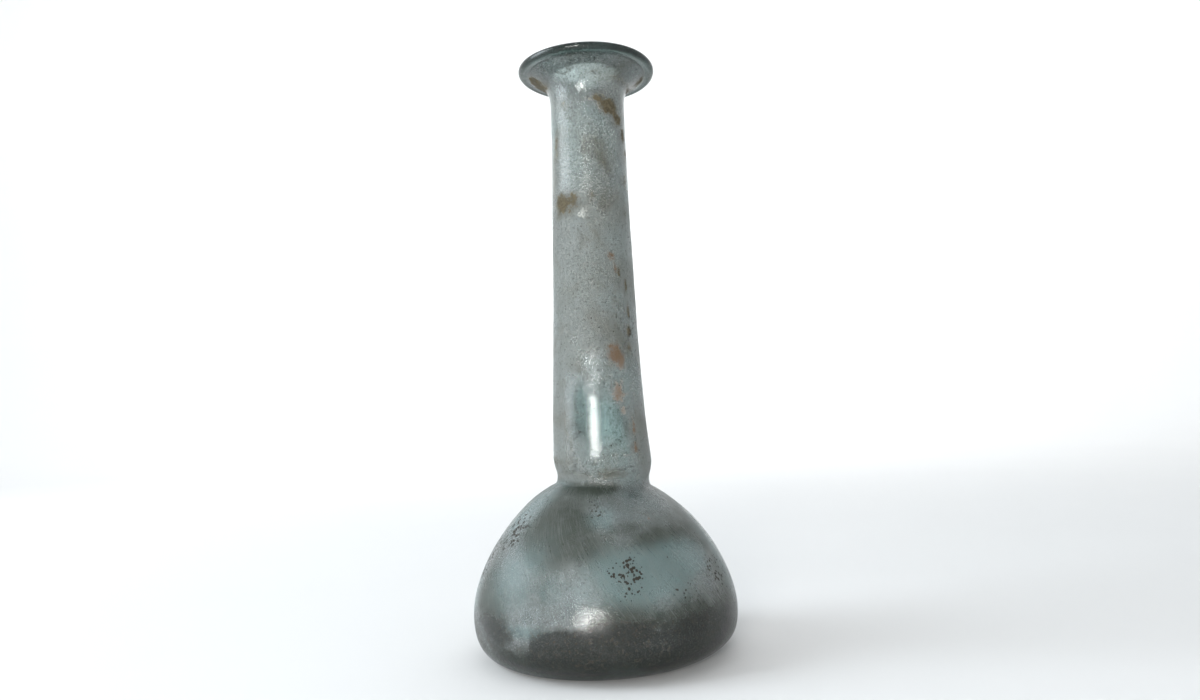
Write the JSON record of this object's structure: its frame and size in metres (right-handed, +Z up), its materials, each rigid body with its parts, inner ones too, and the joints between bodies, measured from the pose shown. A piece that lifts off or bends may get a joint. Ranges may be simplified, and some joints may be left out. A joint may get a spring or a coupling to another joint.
{
  "type": "glass unguentarium",
  "caption": "Small hollow blown-glass perfume flask with a bell-shaped body, a pinched waist, a long tapering neck and a wide folded lip.",
  "frame": {"origin": "centre of the foot's underside, on the surface that the flask stands on", "axes": "+Z up along the neck, out of the mouth; a viewer of the main side looks along +Y with +X to the right"},
  "size_m": [0.0704, 0.0704, 0.1605],
  "materials": {
    "weathered_glass": "pale blue-green blown glass, see-through, dulled by a thin weathering film with fine pits and brown soil inside"
  },
  "bodies": {
    "root": {"flask": "weathered_glass"}
  },
  "joints": []
}
